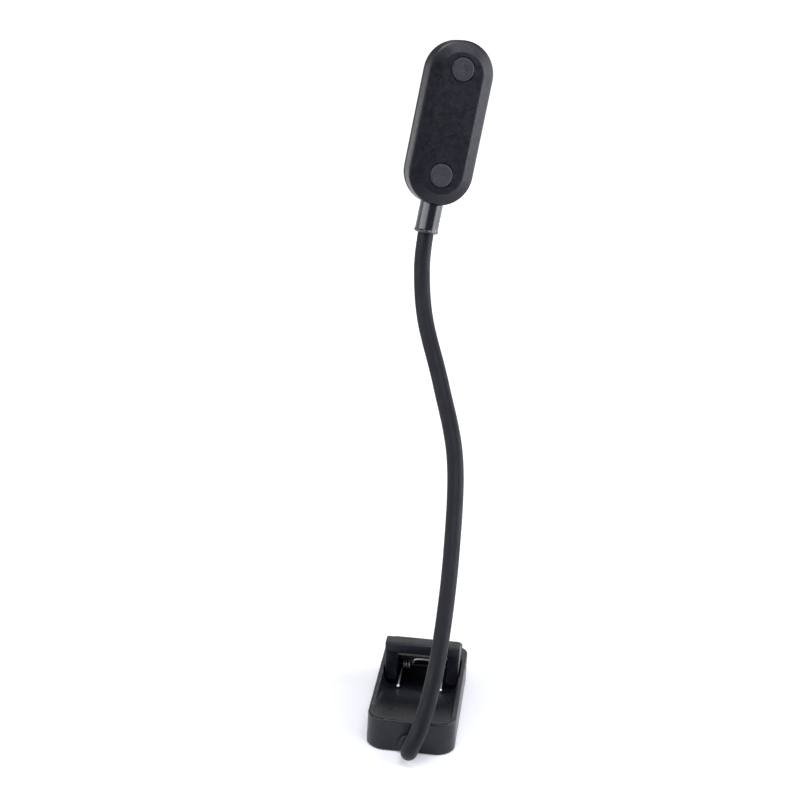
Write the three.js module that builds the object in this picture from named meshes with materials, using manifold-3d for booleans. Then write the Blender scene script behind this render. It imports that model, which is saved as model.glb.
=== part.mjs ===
// Clip-on reading lamp: a battery base with a sprung clip, a flexible neck and an LED head.
// Millimetres, +Z up. The origin is the middle of the base's flat underside, +Y runs towards
// the mouth of the clip, and the neck leaves the rear face at -Y and leans over the clip.

import * as THREE from 'three';
import { mergeVertices } from 'three/addons/utils/BufferGeometryUtils.js';
import Module from 'manifold-3d';

const wasm = await Module();
wasm.setup();

// ---------------------------------------------------------------- driving dimensions

const FIT = 0.3;                 // clearance between pieces that touch on the real lamp

// base housing
const BASE_W = 39;               // width, X
const BASE_L = 80;               // length, Y
const BASE_H = 15;               // height, Z
const REAR_CORNER = 8.5;         // plan radius of the rear corners
const FRONT_CORNER = 7;          // plan radius of the front corners
const EDGE = 1.0;                // rounding of the top and bottom edges
const WALL = 1.9;                // housing wall
const RIM = 2.2;                 // side walls beside the thumb scoop
const SCOOP_START = 0.8;         // wall left behind the scoop at the rear face
const SCOOP_END = 47;            // where the scoop meets the hinge pocket
const SCOOP_DEPTH = 6.5;
const SCOOP_CURVE = 1.25;        // power of the scoop's side profile
const POCKET_END = 63.2;         // front wall of the hinge pocket
const POCKET_DEPTH = 10.2;
const FRONT_ROOF = 2.2;          // top wall under the lower jaw
const REAR_ROOF = 3.2;           // top wall at the shallow end of the scoop
const FLOOR_SKIN = 1.6;          // wall under the scoop and the pocket
const COVER_T = 1.6;             // bottom cover

// cover screws, [x, y]
const SCREW_AT = [[-14, -31.5], [14, -31.5], [-8.4, 34.6], [8.4, 34.6]];
const SCREW_R = 1.15;
const SCREW_LENGTH = 8;
const SCREW_HEAD_R = 2.1;
const SCREW_HEAD_T = 0.9;
const SCREW_SLOT = 0.5;
const SCREW_POST_R = 2.6;

// charging: a USB-C socket and an indicator in the left wall
const PORT_Y = 30;
const PORT_Z = 5.9;
const PORT_W = 8.9;
const PORT_H = 3.2;
const PORT_DEPTH = 7.3;
const PORT_SHELL = 0.3;
const LIGHT_R = 1.1;
const LIGHT_Z = 10.8;
const WALL_INSET = 0.35;         // both sit this far inside the outer wall

// clip hinge and lever; all distances along the clip are measured from the rear face
const HINGE_Y = 58.5;
const HINGE_Z = BASE_H - 1.6;
const PIN_R = 1.0;
const BORE_R = PIN_R + 0.2;      // running clearance
const LEVER_W = 33.8;            // over the two posts
const POST_W = 5.3;
const POST_BACK = 48;            // rear face of the posts
const POST_T = 4.6;
const POST_TOP = BASE_H + 9.6;
const LIP_W = 34.2;
const LIP_BACK = 45.6;
const LIP_FRONT = 53;
const LIP_T = 4.9;
const LIP_EDGE = 0.9;            // rounding of the lip's rear edges
const ARM_BACK = 55.8;           // rear edge of the upper jaw
const ARM_FRONT = 76.4;          // tip of the upper jaw
const ARM_Z = BASE_H + 1.9;      // underside of the upper jaw
const ARM_T = 1.8;
const PAD_W = 28;
const PAD_T = 0.9;
const PAD_L = 10;
const PAD_Y = 70.4;
const PAD_CORNER = 2;

// double torsion spring
const WIRE_R = 0.45;
const COIL_R = 1.75;             // to the middle of the wire
const COIL_OUT = 9.8;            // X of the outer leg
const COIL_IN = 5.6;             // X where the coil turns into the bridge
const COIL_TURNS = 3.5;
const LEG_TIP = [40.4, BASE_H - 4.4];
const BRIDGE_Z = ARM_Z + ARM_T / 2;

// neck
const NECK_R = 3.75;
const SLEEVE_BORE_R = 2.8;
const CORE_R = 2.5;
const EXIT = new THREE.Vector3(0.6, -BASE_L / 2, 4.9);   // where the neck leaves the base
const BEND_AT = [38, 84, 130, 176, 222];                 // pivots, along the neck's middle line
const BOSS_R = 5.4;              // ring round the neck's exit
const BOSS_Z = 4.5;
const BOSS_PROUD = 2;
const ANCHOR_R = 4.6;            // clamp that grips the core inside the base
const ANCHOR_START = 4.4;
const ANCHOR_END = 11;
const FLEX_HALF = 10;            // half the length of a bending sleeve
const CORE_GAP = 2;              // half the gap in the core at a pivot
const INTO_COLLAR = 9;           // the neck's middle line runs this far up the collar
const SLEEVE_IN_COLLAR = 1.4;

// head
const HEAD_FOOT = new THREE.Vector3(-14.9, 70.3, 206.6); // middle of the collar's lower end
const HEAD_UP = new THREE.Vector3(0.132, 0.152, 0.98).normalize();
const HEAD_BACK = new THREE.Vector3(0.364, -0.9265, 0.095);
const HEAD_W = 30.7;
const HEAD_L = 75;
const HEAD_MID = 50.8;           // centre of the head above its foot
const RIM_Z = 4.6;               // edge of the back shell's side wall, from the collar's axis
const SHELL_FRONT_Z = -2.4;
const BEZEL_FRONT_Z = -5.4;
const BEZEL_LIP = 2.5;           // width of the bezel round the diffuser
const BEZEL_EDGE = 0.8;
const CHAMFER_W = 5.2;
const CHAMFER_H = 1.6;
const SHELL_WALL = 1.6;
const SHELL_ROOF = 1.2;
const COLLAR_R = 5.7;
const COLLAR_L = 13.3;
const SPIGOT_R = 4;              // the part of the collar that enters the head
const SPIGOT_END = 15.2;
const LENS_T = 1.5;
const LENS_SETBACK = 0.5;

// light and switches
const LED_COUNT = 6;
const LED_PITCH = 9.5;
const LED_W = 3.5;
const LED_L = 2.8;
const LED_T = 0.8;
const LED_BOARD_W = 23;
const LED_BOARD_L = 62;
const LED_BOARD_T = 1;
const LED_BOARD_Z = -0.4;        // top face of the board
const LIGHT_MID = HEAD_MID + 1;
const BUTTON_R = 5.4;
const BUTTON_T = 1.6;
const BUTTON_UP = [27.1, 75.4];  // button centres above the foot
const STEM_R = 1.5;
const SWITCH_W = 6;
const SWITCH_T = 1;
const SWITCH_TRAVEL = 0.7;       // gap between a switch and its button's stem

const yFromRear = (d) => d - BASE_L / 2;

// ---------------------------------------------------------------- materials

const plastic = (color, roughness) => new THREE.MeshStandardMaterial({ color, roughness, metalness: 0 });
const metal = (color, roughness) => new THREE.MeshStandardMaterial({ color, roughness, metalness: 1 });
const MAT = {
  shell: () => plastic(0x232428, 0.5),
  gloss: () => plastic(0x1c1d20, 0.22),
  button: () => plastic(0x33343a, 0.55),
  rubber: () => plastic(0x1b1c1e, 0.85),
  steel: () => metal(0xc9ccd0, 0.3),
  board: () => plastic(0x1f5a33, 0.6),
  cell: () => plastic(0xb9bcc2, 0.4),
  diffuser: () => plastic(0xf2f1ec, 0.35),
  led: () => plastic(0xf5e7a8, 0.4),
  port: () => metal(0xaeb2b8, 0.35),
};

// ---------------------------------------------------------------- solids

const root = new THREE.Group();

function solid(geometry) {
  const g = geometry.index ? geometry.clone() : geometry;
  g.deleteAttribute('normal');
  g.deleteAttribute('uv');
  const m = mergeVertices(g, 1e-4);
  return new wasm.Manifold(new wasm.Mesh({
    numProp: 3,
    vertProperties: new Float32Array(m.attributes.position.array),
    triVerts: new Uint32Array(m.index.array),
  }));
}

function toGeometry(manifold) {
  const mesh = manifold.getMesh();
  const g = new THREE.BufferGeometry();
  g.setAttribute('position', new THREE.BufferAttribute(new Float32Array(mesh.vertProperties), 3));
  g.setIndex(new THREE.BufferAttribute(new Uint32Array(mesh.triVerts), 1));
  g.computeVertexNormals();
  return g;
}

function add(name, shape, material, parent = root) {
  const geometry = shape.getMesh ? toGeometry(shape) : shape;
  const mesh = new THREE.Mesh(geometry, material);
  mesh.name = name;
  parent.add(mesh);
  return mesh;
}

// a box between two corners
function block(x0, x1, y0, y1, z0, z1) {
  const g = new THREE.BoxGeometry(x1 - x0, y1 - y0, z1 - z0);
  g.translate((x0 + x1) / 2, (y0 + y1) / 2, (z0 + z1) / 2);
  return solid(g);
}

// a cylinder along X, Y or Z between two places on that axis
function rod(axis, r, from, to, at, segments = 16) {
  const g = new THREE.CylinderGeometry(r, r, to - from, segments);
  const mid = (from + to) / 2;
  if (axis === 'x') g.rotateZ(-Math.PI / 2).translate(mid, at[0], at[1]);
  if (axis === 'y') g.translate(at[0], mid, at[1]);
  if (axis === 'z') g.rotateX(Math.PI / 2).translate(at[0], at[1], mid);
  return solid(g);
}

// a plan outline extruded up from z0 to z1, its edges bevelled by `edge`
function plate(shape, z0, z1, edge = 0, segments = 2, curveSegments = 8) {
  const g = new THREE.ExtrudeGeometry(shape, {
    depth: z1 - z0 - 2 * edge,
    bevelEnabled: edge > 0,
    bevelSize: edge,
    bevelThickness: edge,
    bevelOffset: -edge,
    bevelSegments: segments,
    curveSegments,
  });
  g.translate(0, 0, z0 + edge);
  return solid(g);
}

// a side profile, drawn as [distance from the rear face, height], extruded across X
function across(points, x0, x1) {
  const shape = new THREE.Shape(points.map(([d, z]) => new THREE.Vector2(yFromRear(d), z)));
  const g = new THREE.ExtrudeGeometry(shape, { depth: x1 - x0, bevelEnabled: false });
  // shape X -> +Y, shape Y -> +Z, extrusion -> +X
  g.applyMatrix4(new THREE.Matrix4().makeBasis(
    new THREE.Vector3(0, 1, 0), new THREE.Vector3(0, 0, 1), new THREE.Vector3(1, 0, 0)));
  g.translate(x0, 0, 0);
  return solid(g);
}

// the base's plan outline, `inset` inside its outer wall
function baseOutline(inset) {
  const w = BASE_W / 2 - inset;
  const y0 = -BASE_L / 2 + inset;
  const y1 = BASE_L / 2 - inset;
  const rr = Math.max(REAR_CORNER - inset, 0.5);
  const fr = Math.max(FRONT_CORNER - inset, 0.5);
  const s = new THREE.Shape();
  s.moveTo(-w + rr, y0);
  s.lineTo(w - rr, y0);
  s.absarc(w - rr, y0 + rr, rr, -Math.PI / 2, 0);
  s.lineTo(w, y1 - fr);
  s.absarc(w - fr, y1 - fr, fr, 0, Math.PI / 2);
  s.lineTo(-w + fr, y1);
  s.absarc(-w + fr, y1 - fr, fr, Math.PI / 2, Math.PI);
  s.lineTo(-w, y0 + rr);
  s.absarc(-w + rr, y0 + rr, rr, Math.PI, 1.5 * Math.PI);
  return s;
}

// a stadium outline, upright along Y, centred at (0, cy)
function stadium(width, length, cy) {
  const r = width / 2;
  const half = length / 2 - r;
  const s = new THREE.Shape();
  s.moveTo(r, cy - half);
  s.lineTo(r, cy + half);
  s.absarc(0, cy + half, r, 0, Math.PI);
  s.lineTo(-r, cy - half);
  s.absarc(0, cy - half, r, Math.PI, 2 * Math.PI);
  return s;
}

// ---------------------------------------------------------------- neck line

const NECK_POINTS = [
  [0.6, -36, 4.9], [0.6, -44, 4.9], [0.9, -51.4, 6.8], [2.4, -54.2, 12.2], [4.9, -52.6, 18.9],
  [8.0, -45.3, 31.7], [10.4, -33.4, 51], [11.1, -10, 82], [8.4, 18.3, 115.7], [-1.4, 40.2, 143.4],
  [-11.6, 56.7, 168.8], [-15.3, 66.3, 189.6],
].map((p) => new THREE.Vector3(...p));
NECK_POINTS.push(HEAD_FOOT.clone());
NECK_POINTS.push(HEAD_FOOT.clone().addScaledVector(HEAD_UP, INTO_COLLAR));
const neckLine = new THREE.CatmullRomCurve3(NECK_POINTS, false, 'catmullrom', 0.5);
neckLine.arcLengthDivisions = 800;
const NECK_LENGTH = neckLine.getLength();
const SLEEVE_END = NECK_LENGTH - INTO_COLLAR + SLEEVE_IN_COLLAR;

class Stretch extends THREE.Curve {
  constructor(from, to) {
    super();
    this.from = from;
    this.to = to;
  }

  getPoint(t) {
    return neckLine.getPointAt((this.from + (this.to - this.from) * t) / NECK_LENGTH);
  }
}

function ring(outer, inner, segments) {
  const s = new THREE.Shape();
  const point = (r, i) => {
    const a = (2 * Math.PI * i) / segments;
    return [r * Math.cos(a), r * Math.sin(a)];
  };
  for (let i = 0; i < segments; i++) {
    if (i) s.lineTo(...point(outer, i));
    else s.moveTo(...point(outer, 0));
  }
  if (inner) {
    const h = new THREE.Path();
    for (let i = 0; i < segments; i++) {
      if (i) h.lineTo(...point(inner, -i));
      else h.moveTo(...point(inner, 0));
    }
    s.holes.push(h);
  }
  return s;
}

function tube(outer, inner, path, steps, segments) {
  const g = new THREE.ExtrudeGeometry(ring(outer, inner, segments), { steps, extrudePath: path });
  return solid(g);
}

function neckPiece(outer, inner, from, to) {
  const steps = Math.max(3, Math.round((to - from) / 4));
  return tube(outer, inner, new Stretch(from, to), steps, 12);
}

// ---------------------------------------------------------------- base

const exitHole = rod('y', NECK_R + FIT, yFromRear(-8), yFromRear(12), [EXIT.x, EXIT.z], 20);

function scoop() {
  const points = [[SCOOP_START, BASE_H + 2]];
  const steps = 8;
  for (let i = 0; i <= steps; i++) {
    const t = i / steps;
    points.push([
      SCOOP_START + (SCOOP_END - SCOOP_START) * t,
      BASE_H - SCOOP_DEPTH * t ** SCOOP_CURVE,
    ]);
  }
  points.push([SCOOP_END, BASE_H + 2]);
  const half = BASE_W / 2 - RIM;
  return across(points.reverse(), -half, half)
    .add(across([
      [SCOOP_END - 0.2, BASE_H - POCKET_DEPTH], [POCKET_END, BASE_H - POCKET_DEPTH],
      [POCKET_END, BASE_H + 2], [SCOOP_END - 0.2, BASE_H + 2],
    ], -half, half));
}

// the room inside: a deep rear chamber, a shallow one under the scoop and a deep front one
function chamber() {
  const pocketFloor = BASE_H - POCKET_DEPTH - FLOOR_SKIN;
  const profile = [
    [WALL, -1], [BASE_L - WALL, -1], [BASE_L - WALL, BASE_H - FRONT_ROOF],
    [POCKET_END + WALL, BASE_H - FRONT_ROOF], [POCKET_END + WALL, pocketFloor],
    [SCOOP_END - 1.4, pocketFloor], [SCOOP_END - 1.4, BASE_H - SCOOP_DEPTH - FLOOR_SKIN - 0.1],
    [12, BASE_H - REAR_ROOF], [WALL, BASE_H - REAR_ROOF],
  ];
  return across(profile, -BASE_W / 2, BASE_W / 2).intersect(plate(baseOutline(WALL), -2, BASE_H));
}

function bosses() {
  // posts that take the cover's screws; each is open at the bottom
  let all = null;
  for (const [x, y] of SCREW_AT) {
    const post = rod('z', SCREW_POST_R, COVER_T + FIT, BASE_H - FRONT_ROOF + FIT, [x, y], 14);
    all = all ? all.add(post) : post;
  }
  return all;
}

function buildBase() {
  const half = BASE_W / 2;
  const portHalf = PORT_W / 2 + FIT;
  const padY = yFromRear(PAD_Y);
  const padHalf = PAD_L / 2 + FIT;
  let housing = plate(baseOutline(0), 0, BASE_H, EDGE, 3, 8)
    .subtract(scoop())
    .subtract(chamber())
    .add(bosses());
  for (const [x, y] of SCREW_AT) {
    housing = housing.subtract(rod('z', SCREW_R + FIT, -1, SCREW_LENGTH + 1, [x, y], 12));
  }
  housing = housing
    .subtract(exitHole)
    .subtract(rod('x', BORE_R, -half - 1, half + 1, [yFromRear(HINGE_Y), HINGE_Z], 16))
    .subtract(block(-half - 1, -half + WALL + 1, PORT_Y - portHalf, PORT_Y + portHalf,
      PORT_Z - PORT_H / 2 - FIT, PORT_Z + PORT_H / 2 + FIT))
    .subtract(rod('x', LIGHT_R + FIT, -half - 1, -half + WALL + 1, [PORT_Y, LIGHT_Z], 12))
    .subtract(block(-PAD_W / 2 - FIT, PAD_W / 2 + FIT, padY - padHalf, padY + padHalf,
      BASE_H - 2 * FIT, BASE_H + 1));
  add('base_housing', housing, MAT.shell());

  let cover = plate(baseOutline(WALL + FIT), 0, COVER_T, 0, 1, 8).subtract(exitHole);
  for (const [x, y] of SCREW_AT) {
    cover = cover
      .subtract(rod('z', SCREW_R + FIT, -1, COVER_T + 1, [x, y], 12))
      .subtract(rod('z', SCREW_HEAD_R + FIT, -1, SCREW_HEAD_T, [x, y], 16));
  }
  add('base_cover', cover, MAT.shell());

  const under = 0.15;
  SCREW_AT.forEach(([x, y], i) => {
    const long = SCREW_HEAD_R - 0.8;
    const thin = SCREW_SLOT / 2;
    const screw = rod('z', SCREW_R, under, SCREW_LENGTH, [x, y], 12)
      .add(rod('z', SCREW_HEAD_R, under, SCREW_HEAD_T - under, [x, y], 16))
      .subtract(block(x - long, x + long, y - thin, y + thin, -1, SCREW_HEAD_T / 2))
      .subtract(block(x - thin, x + thin, y - long, y + long, -1, SCREW_HEAD_T / 2));
    add(`cover_screw_${i + 1}`, screw, MAT.steel());
  });

  add('battery_cell', block(-10.8, 10.8, yFromRear(13), yFromRear(44), 2, 6.2), MAT.cell());
  add('charge_board', block(-16.8, 12, yFromRear(65.4), yFromRear(73.2), 2.6, 3.6)
    .subtract(rod('z', SCREW_POST_R + FIT, 1, 5, SCREW_AT[2], 14))
    .subtract(rod('z', SCREW_POST_R + FIT, 1, 5, SCREW_AT[3], 14)), MAT.board());
  add('usb_c_socket', usbSocket(), MAT.port());
  const light = rod('x', LIGHT_R, -half + WALL_INSET, -half + 5, [PORT_Y, LIGHT_Z], 12);
  add('charge_light', light, MAT.diffuser());

  const pad = plate(roundedRect(PAD_W, PAD_L, PAD_CORNER, 0, padY), BASE_H - FIT, BASE_H + 0.4);
  add('lower_jaw_pad', pad, MAT.rubber());

  const pinEnd = half - 0.4;
  add('hinge_pin', rod('x', PIN_R, -pinEnd, pinEnd, [yFromRear(HINGE_Y), HINGE_Z], 16), MAT.steel());
}

function roundedRect(w, l, r, cx, cy) {
  const s = new THREE.Shape();
  const x0 = cx - w / 2;
  const x1 = cx + w / 2;
  const y0 = cy - l / 2;
  const y1 = cy + l / 2;
  s.moveTo(x0 + r, y0);
  s.lineTo(x1 - r, y0);
  s.absarc(x1 - r, y0 + r, r, -Math.PI / 2, 0);
  s.lineTo(x1, y1 - r);
  s.absarc(x1 - r, y1 - r, r, 0, Math.PI / 2);
  s.lineTo(x0 + r, y1);
  s.absarc(x0 + r, y1 - r, r, Math.PI / 2, Math.PI);
  s.lineTo(x0, y0 + r);
  s.absarc(x0 + r, y0 + r, r, Math.PI, 1.5 * Math.PI);
  return s;
}

// a metal shell with a round-ended mouth in the left wall and a tongue inside
function usbSocket() {
  const x0 = -BASE_W / 2 + WALL_INSET;
  const slot = (w, h, from, to) => {
    const g = new THREE.ExtrudeGeometry(stadium(h, w, 0), {
      depth: to - from,
      bevelEnabled: false,
      curveSegments: 6,
    });
    g.applyMatrix4(new THREE.Matrix4().makeBasis(
      new THREE.Vector3(0, 0, 1), new THREE.Vector3(0, 1, 0), new THREE.Vector3(-1, 0, 0)));
    g.translate(x0 + PORT_DEPTH - from, PORT_Y, PORT_Z);
    return solid(g);
  };
  const outer = slot(PORT_W, PORT_H, 0, PORT_DEPTH);
  const inner = slot(PORT_W - 2 * PORT_SHELL, PORT_H - 2 * PORT_SHELL, 1, PORT_DEPTH + 1);
  const tongue = block(x0 + 1, x0 + PORT_DEPTH - 0.5, PORT_Y - 3.2, PORT_Y + 3.2,
    PORT_Z - 0.35, PORT_Z + 0.35);
  return outer.subtract(inner).add(tongue);
}

// ---------------------------------------------------------------- clip lever

function buildLever() {
  const outer = LEVER_W / 2;
  const inner = outer - POST_W;
  const z = BASE_H;
  // post, hinge cheek and the gusset that runs into the upper jaw
  const cheek = [
    [POST_BACK, z - 5], [POST_BACK + 1, z - 5.6], [POST_BACK + 3, z - 6.6],
    [HINGE_Y - 4, z - 6.7], [HINGE_Y, z - 6.4],
    [HINGE_Y + 2.7, z - 5], [HINGE_Y + 3.9, z - 2.4], [HINGE_Y + 4.1, ARM_Z],
    [HINGE_Y + 9, ARM_Z], [HINGE_Y + 8, ARM_Z + ARM_T],
    [HINGE_Y + 2, ARM_Z + ARM_T + 1.4], [POST_BACK + POST_T + 1.4, ARM_Z + ARM_T + 4],
    [POST_BACK + POST_T, POST_TOP - 1], [POST_BACK + POST_T, POST_TOP + 0.6], [POST_BACK, POST_TOP + 0.6],
  ].reverse();
  let lever = across(cheek, -outer, -inner).add(across(cheek, inner, outer));

  // the upper jaw: a plate with a rounded tip
  const armLen = ARM_FRONT - ARM_BACK;
  const arm = plate(roundedRect(LEVER_W, armLen, 2.5, 0, yFromRear(ARM_FRONT - armLen / 2)),
    ARM_Z, ARM_Z + ARM_T);
  lever = lever.add(arm);

  // the thumb lip: a bar with a rounded rear edge and a slightly rising top
  const lip = [];
  const arcSteps = 3;
  for (const [centreZ, start] of [[POST_TOP + LIP_T - LIP_EDGE, 0.5], [POST_TOP + LIP_EDGE, 1]]) {
    for (let i = 0; i <= arcSteps; i++) {
      const a = Math.PI * (start + (0.5 * i) / arcSteps);
      lip.push([LIP_BACK + LIP_EDGE + LIP_EDGE * Math.cos(a), centreZ + LIP_EDGE * Math.sin(a)]);
    }
  }
  lip.push([LIP_FRONT, POST_TOP]);
  lip.push([LIP_FRONT, POST_TOP + LIP_T + 0.2]);
  lever = lever.add(across(lip, -LIP_W / 2, LIP_W / 2));

  // bore for the pin, with running clearance
  lever = lever.subtract(rod('x', BORE_R, -outer - 1, outer + 1, [yFromRear(HINGE_Y), HINGE_Z], 16));
  add('clip_lever', lever, MAT.shell());

  const pad = plate(roundedRect(PAD_W, PAD_L, PAD_CORNER, 0, yFromRear(PAD_Y)),
    ARM_Z - FIT - PAD_T, ARM_Z - FIT);
  add('upper_jaw_pad', pad, MAT.rubber());
}

// One wire: a leg on the floor, a coil, a bridge behind the upper jaw's rear edge, a coil, a leg.
function buildSpring() {
  const points = [];
  const cy = yFromRear(HINGE_Y);
  const tipY = yFromRear(LEG_TIP[0]);
  const turnSteps = 12;
  const total = Math.round(COIL_TURNS * turnSteps);
  const bottom = HINGE_Z - COIL_R;
  for (const t of [0, 0.5, 0.9]) {
    points.push([
      -COIL_OUT,
      THREE.MathUtils.lerp(tipY, cy, t),
      THREE.MathUtils.lerp(LEG_TIP[1], bottom, t),
    ]);
  }
  for (let i = 1; i <= total; i++) {
    const t = i / total;
    const a = -Math.PI / 2 + 2 * Math.PI * COIL_TURNS * t;
    points.push([
      THREE.MathUtils.lerp(-COIL_OUT, -COIL_IN, t),
      cy + COIL_R * Math.cos(a),
      HINGE_Z + COIL_R * Math.sin(a),
    ]);
  }
  points.push([-COIL_IN + 0.5, cy - 1.6, HINGE_Z + COIL_R]);
  points.push([-COIL_IN + 1.2, cy - 3.0, HINGE_Z + COIL_R + 0.7]);
  points.push([-COIL_IN + 2.3, yFromRear(ARM_BACK) - WIRE_R - FIT, BRIDGE_Z]);
  const mirrored = points.map(([x, y, zz]) => [-x, y, zz]).reverse();
  const line = new THREE.CatmullRomCurve3([...points, ...mirrored].map((p) => new THREE.Vector3(...p)));
  line.arcLengthDivisions = 1200;
  add('torsion_spring', tube(WIRE_R, 0, line, 160, 6), MAT.steel());
}

// ---------------------------------------------------------------- neck

function buildNeck() {
  // the boss ring stands 2 mm proud of the rear face; the anchor grips the core inside
  const bossUnder = 0.4;
  const boss = rod('y', BOSS_R, yFromRear(-BOSS_PROUD), yFromRear(-FIT), [EXIT.x, BOSS_Z], 28)
    .subtract(block(-9, 9, yFromRear(-4), yFromRear(4), -2, bossUnder))
    .subtract(exitHole);
  add('neck_boss_ring', boss, MAT.shell());
  const before = yFromRear(ANCHOR_START - 1);
  const after = yFromRear(ANCHOR_END + 1);
  const anchor = rod('y', ANCHOR_R, before + 1, after - 1, [EXIT.x, EXIT.z + 0.6], 16)
    .subtract(rod('y', CORE_R + FIT, before, after, [EXIT.x, EXIT.z], 16))
    .subtract(block(-8, 8, before, after, -2, COVER_T + FIT));
  add('neck_anchor', anchor, MAT.steel());

  const names = ['root', '1', '2', '3', '4', 'head'];
  const ends = [0, ...BEND_AT, SLEEVE_END];
  names.forEach((name, i) => {
    const first = i === 0;
    const last = i === names.length - 1;
    const from = ends[i] + (first ? 0.5 : FLEX_HALF);
    const to = ends[i + 1] - (last ? 0 : FLEX_HALF);
    add(`neck_sleeve_${name}`, neckPiece(NECK_R, SLEEVE_BORE_R, from, to), MAT.rubber());
    const coreFrom = ends[i] + (first ? -3 : CORE_GAP);
    const coreTo = last ? ends[i + 1] + 5 : ends[i + 1] - CORE_GAP;
    add(`neck_core_${name}`, neckPiece(CORE_R, 0, Math.max(coreFrom, 0), coreTo), MAT.steel());
  });
  BEND_AT.forEach((at, i) => {
    const flex = neckPiece(NECK_R, SLEEVE_BORE_R, at - FLEX_HALF + FIT, at + FLEX_HALF - FIT);
    add(`neck_flex_${i + 1}`, flex, MAT.rubber());
  });
}

// ---------------------------------------------------------------- head

// In the head's own frame the foot is the origin, +Y runs up the head and +Z out of its back.
function buildHead() {
  const head = new THREE.Group();
  const side = new THREE.Vector3().crossVectors(HEAD_UP, HEAD_BACK).normalize();
  const back = new THREE.Vector3().crossVectors(side, HEAD_UP);
  head.applyMatrix4(new THREE.Matrix4().makeBasis(side, HEAD_UP, back).setPosition(HEAD_FOOT));
  root.add(head);

  const c = HEAD_MID;
  const flatW = HEAD_W - 2 * CHAMFER_W;
  const flatL = HEAD_L - 2 * CHAMFER_W;
  // back shell: chamfered stadium, open at the front
  const body = new THREE.ExtrudeGeometry(stadium(flatW, flatL, c), {
    depth: RIM_Z - SHELL_FRONT_Z + 2,
    bevelEnabled: true,
    bevelSize: CHAMFER_W,
    bevelThickness: CHAMFER_H,
    bevelSegments: 1,
    curveSegments: 18,
  });
  body.translate(0, 0, SHELL_FRONT_Z - 2);
  const inside = stadium(HEAD_W - 2 * SHELL_WALL, HEAD_L - 2 * SHELL_WALL, c);
  let shell = solid(body)
    .intersect(plate(stadium(HEAD_W + 4, HEAD_L + 4, c), SHELL_FRONT_Z, 20))
    .subtract(plate(inside, SHELL_FRONT_Z - 5, RIM_Z - SHELL_ROOF, 0, 1, 14));
  for (const up of BUTTON_UP) {
    shell = shell.subtract(rod('z', BUTTON_R + FIT, 0, 20, [0, up], 28));
  }
  // the collar enters the shell's lower end through a round mouth
  const mouth = rod('y', SPIGOT_R + FIT, 0, SPIGOT_END + FIT, [0, 0], 24);
  add('head_back_shell', shell.subtract(mouth), MAT.shell(), head);

  const lightW = HEAD_W - 2 * BEZEL_LIP;
  const lightL = HEAD_L - 2 * BEZEL_LIP;
  const bezel = plate(stadium(HEAD_W, HEAD_L, c), BEZEL_FRONT_Z, SHELL_FRONT_Z - FIT, BEZEL_EDGE, 2, 14)
    .subtract(plate(stadium(lightW, lightL, c), BEZEL_FRONT_Z - 1, SHELL_FRONT_Z + 1, 0, 1, 14))
    .subtract(mouth);
  add('head_front_bezel', bezel, MAT.shell(), head);

  const lensZ = BEZEL_FRONT_Z + LENS_SETBACK;
  const lens = plate(stadium(lightW - 2 * FIT, lightL - 2 * FIT, c), lensZ, lensZ + LENS_T, 0, 1, 14);
  add('light_diffuser', lens, MAT.diffuser(), head);

  const boardUnder = LED_BOARD_Z - LED_BOARD_T;
  const board = plate(stadium(LED_BOARD_W, LED_BOARD_L, LIGHT_MID), boardUnder, LED_BOARD_Z, 0, 1, 10);
  add('led_board', board, MAT.board(), head);
  for (let i = 0; i < LED_COUNT; i++) {
    const y = LIGHT_MID + (i - (LED_COUNT - 1) / 2) * LED_PITCH;
    const led = block(-LED_W / 2, LED_W / 2, y - LED_L / 2, y + LED_L / 2,
      boardUnder - FIT - LED_T, boardUnder - FIT);
    add(`led_${i + 1}`, led, MAT.led(), head);
  }

  const names = ['colour', 'brightness'];
  const switchZ = LED_BOARD_Z + FIT;
  const stemZ = switchZ + SWITCH_T + SWITCH_TRAVEL;
  const capZ = RIM_Z + CHAMFER_H;
  const halfSwitch = SWITCH_W / 2;
  BUTTON_UP.forEach((up, i) => {
    const cap = rod('z', BUTTON_R, capZ - BUTTON_T, capZ, [0, up], 28)
      .add(rod('z', STEM_R, stemZ, capZ - 1, [0, up], 12));
    add(`${names[i]}_button`, cap, MAT.button(), head);
    const body = block(-halfSwitch, halfSwitch, up - halfSwitch, up + halfSwitch,
      switchZ, switchZ + SWITCH_T);
    add(`${names[i]}_switch`, body, MAT.port(), head);
  });

  // collar: glossy ferrule that joins neck and head
  const ferrule = rod('y', COLLAR_R, 0, COLLAR_L - 0.2, [0, 0], 32)
    .add(rod('y', SPIGOT_R, 0, SPIGOT_END, [0, 0], 24))
    .subtract(rod('y', CORE_R + FIT, -1, 20, [0, 0], 16))
    .subtract(rod('y', NECK_R + FIT, -1, 2, [0, 0], 20));
  add('neck_collar', ferrule, MAT.gloss(), head);
}

buildBase();
buildLever();
buildSpring();
buildNeck();
buildHead();

export default root;
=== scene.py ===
"""Clip-on reading lamp: the visual model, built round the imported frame.

Shapes are worked out in millimetres and written to Blender in metres. The frame is the CAD's:
+Z up, +Y towards the clip's mouth, the neck leaves the rear face at -Y.
"""
import math

import bmesh
import bpy
from mathutils import Matrix, Vector


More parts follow.
